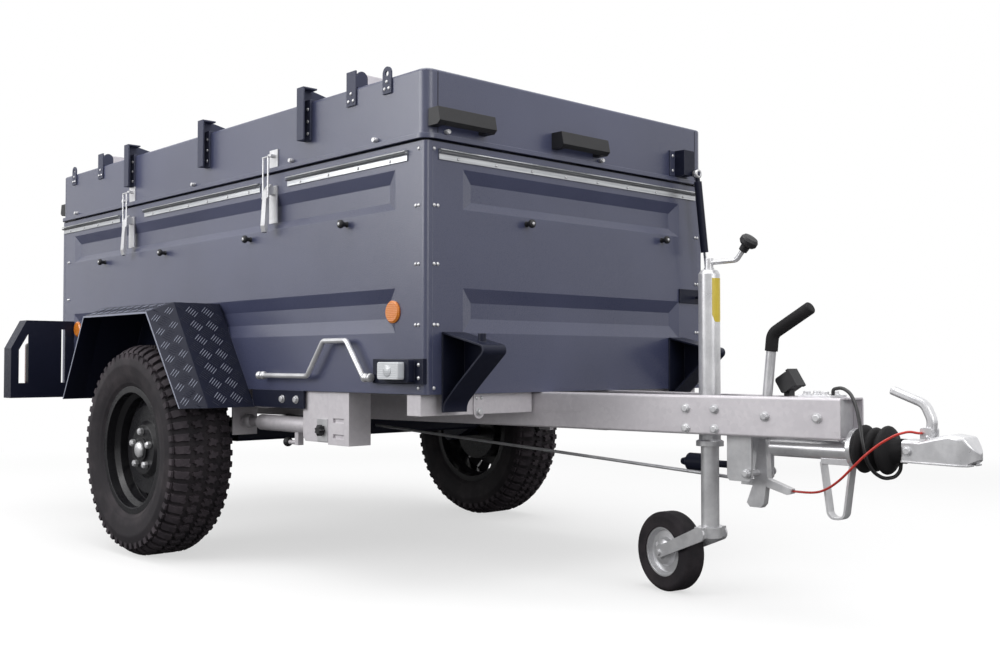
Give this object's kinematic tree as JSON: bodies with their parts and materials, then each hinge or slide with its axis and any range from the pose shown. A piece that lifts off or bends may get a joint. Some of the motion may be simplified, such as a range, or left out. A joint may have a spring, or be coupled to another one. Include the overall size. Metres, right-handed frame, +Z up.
{
  "type": "folding camper trailer",
  "caption": "Off-road box trailer whose ribbed box opens with a flip-over lid on gas springs; V drawbar with overrun coupling, jockey wheel and swivel legs.",
  "frame": {"origin": "on the ground, below the middle of the trailer's overall box", "axes": "+X forward to the coupling, +Y to the trailer's left, +Z up"},
  "size_m": [3.833, 1.7748, 1.527],
  "materials": {
    "body_paint": "satin slate paint",
    "black_coat": "black powder coat",
    "dark_bracket": "dark grey powder coat",
    "galvanised": "galvanised",
    "zinc": "zinc plated",
    "floor_sheet": "grey floor sheet",
    "rail": "bare extrusion",
    "tyre": "black rubber",
    "rim": "black wheel paint",
    "rubber": "black rubber",
    "black_plastic": "black plastic",
    "amber_lens": "amber lens",
    "clear_lens": "white lens",
    "red_lens": "red lens",
    "cable_black": "black sheath",
    "cable_red": "red sheath",
    "rod_chrome": "hard chrome"
  },
  "bodies": {
    "chassis": {"box_floor": "floor_sheet", "wall_front": "body_paint", "wall_rear": "body_paint", "wall_right": "body_paint", "wall_left": "body_paint", "awning_rails": "rail", "latches": "zinc", "tent_knobs": "black_plastic", "side_reflectors": "amber_lens", "front_brackets": "black_coat", "front_lamps": "clear_lens", "drawbar_right": "galvanised", "drawbar_left": "galvanised", "cross_members": "galvanised", "axle_tube": "black_coat", "swing_arms": "black_coat", "mudguard_right": "black_coat", "mudguard_left": "black_coat", "light_guards": "black_coat", "tail_lamps": "red_lens", "overrun_tube": "zinc", "bellows": "rubber", "coupling_head": "zinc", "coupling_handle": "zinc", "handbrake_lever": "zinc", "handbrake_grip": "rubber", "brake_bracket": "zinc", "brake_spring": "black_coat", "brake_rod": "zinc", "coupling_strap": "zinc", "plug_holder": "black_plastic", "connector_cable": "cable_black", "breakaway_cable": "cable_red", "jockey_tube": "zinc", "jockey_crank": "zinc", "jockey_knob": "black_plastic", "stowed_crank": "zinc", "box_hinges": "zinc", "gas_brackets": "black_coat", "leg_mounts": "galvanised"},
    "wheel_right": {"tyre_right": "tyre", "rim_right": "rim"},
    "wheel_left": {"tyre_left": "tyre", "rim_left": "rim"},
    "lid": {"lid_shell": "body_paint", "lid_fittings": "zinc", "lid_handles": "black_plastic", "lid_brackets": "dark_bracket"},
    "lid_leg_front": {"lid_leg_front": "galvanised"},
    "lid_leg_rear": {"lid_leg_rear": "galvanised"},
    "gas_cylinder_front": {"gas_cylinder_front": "black_coat"},
    "gas_rod_front": {"gas_rod_front": "rod_chrome"},
    "gas_cylinder_rear": {"gas_cylinder_rear": "black_coat"},
    "gas_rod_rear": {"gas_rod_rear": "rod_chrome"},
    "jockey_stem": {"jockey_stem": "zinc"},
    "jockey_fork": {"jockey_fork": "zinc"},
    "jockey_wheel": {"jockey_tyre": "tyre", "jockey_rim": "zinc"},
    "support_leg_right": {"support_leg_right": "galvanised"},
    "support_leg_left": {"support_leg_left": "galvanised"}
  },
  "joints": [
    {"name": "wheel_right_spin", "type": "hinge", "parent": "chassis", "child": "wheel_right", "pos_m": [-0.6155, -0.775, 0.36], "axis": [0, 1, 0], "continuous": true},
    {"name": "wheel_left_spin", "type": "hinge", "parent": "chassis", "child": "wheel_left", "pos_m": [-0.6155, 0.775, 0.36], "axis": [0, 1, 0], "continuous": true},
    {"name": "lid_hinge", "type": "hinge", "parent": "chassis", "child": "lid", "pos_m": [0, 0.667, 1.274], "axis": [-1, 0, 0], "range_deg": [0, 180]},
    {"name": "lid_leg_front_fold", "type": "hinge", "parent": "lid", "child": "lid_leg_front", "pos_m": [0.33151, -0.605, 1.503], "axis": [1, 0, 0], "range_deg": [0, 90]},
    {"name": "lid_leg_rear_fold", "type": "hinge", "parent": "lid", "child": "lid_leg_rear", "pos_m": [-1.44358, -0.605, 1.503], "axis": [1, 0, 0], "range_deg": [0, 90]},
    {"name": "gas_front_pivot", "type": "hinge", "parent": "lid", "child": "gas_cylinder_front", "pos_m": [0.7365, 0.516, 1.301], "axis": [1, 0, 0], "range_deg": [0, 140]},
    {"name": "gas_front_slide", "type": "slide", "parent": "gas_cylinder_front", "child": "gas_rod_front", "axis": [0, 0.1521, -0.9884], "range_m": [0, 0.14]},
    {"name": "gas_rear_pivot", "type": "hinge", "parent": "lid", "child": "gas_cylinder_rear", "pos_m": [-1.9035, 0.516, 1.301], "axis": [1, 0, 0], "range_deg": [0, 140]},
    {"name": "gas_rear_slide", "type": "slide", "parent": "gas_cylinder_rear", "child": "gas_rod_rear", "axis": [0, 0.1521, -0.9884], "range_m": [0, 0.14]},
    {"name": "jockey_slide", "type": "slide", "parent": "chassis", "child": "jockey_stem", "axis": [0, 0, 1], "range_m": [0, 0.1]},
    {"name": "jockey_swivel", "type": "hinge", "parent": "jockey_stem", "child": "jockey_fork", "pos_m": [1.1615, 0, 0.2], "axis": [0, 0, 1], "range_deg": [-360, 360]},
    {"name": "jockey_spin", "type": "hinge", "parent": "jockey_fork", "child": "jockey_wheel", "pos_m": [0.99901, 0.02865, 0.114], "axis": [0.1736, 0.9848, 0], "continuous": true},
    {"name": "support_leg_right_swing", "type": "hinge", "parent": "chassis", "child": "support_leg_right", "pos_m": [0.0765, -0.575, 0.46], "axis": [0, -1, 0], "range_deg": [0, 88]},
    {"name": "support_leg_left_swing", "type": "hinge", "parent": "chassis", "child": "support_leg_left", "pos_m": [0.0765, 0.575, 0.46], "axis": [0, -1, 0], "range_deg": [0, 88]}
  ],
  "couplings": [
    {"joint": "gas_front_pivot", "follows": "lid_hinge", "ratio": 0.76628},
    {"joint": "gas_front_slide", "follows": "lid_hinge", "m_per_rad": 0.0039265},
    {"joint": "gas_rear_pivot", "follows": "lid_hinge", "ratio": 0.76628},
    {"joint": "gas_rear_slide", "follows": "lid_hinge", "m_per_rad": 0.0039265}
  ]
}
